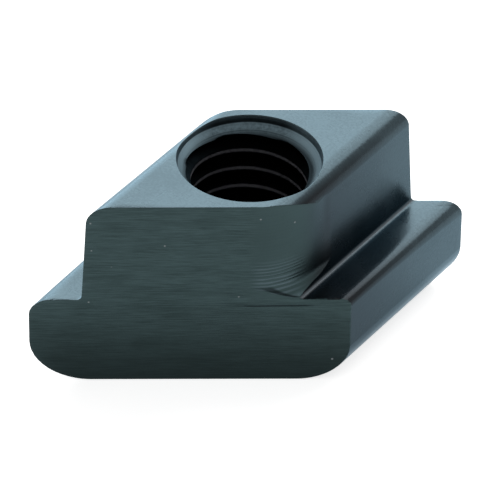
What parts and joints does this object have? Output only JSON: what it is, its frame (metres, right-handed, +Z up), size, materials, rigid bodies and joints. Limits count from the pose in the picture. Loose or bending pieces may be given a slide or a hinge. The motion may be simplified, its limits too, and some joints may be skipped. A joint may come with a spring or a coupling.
{
  "type": "t-slot nut",
  "caption": "Rhombic T-slot nut of blackened steel: drops into the slot, turns to lock under its lips, and takes a bolt in its threaded hole.",
  "frame": {"origin": "on the thread's axis, at the foot's flat underside", "axes": "+Z up along the thread, towards the neck's top; +Y along the bar, and so along the slot when locked; +X across the bar"},
  "size_m": [0.0146, 0.0222, 0.0121],
  "materials": {
    "blackened_steel": "black oxide over rolled, sawn and turned steel, satin"
  },
  "bodies": {
    "root": {"t_slot_nut": "blackened_steel"}
  },
  "joints": []
}
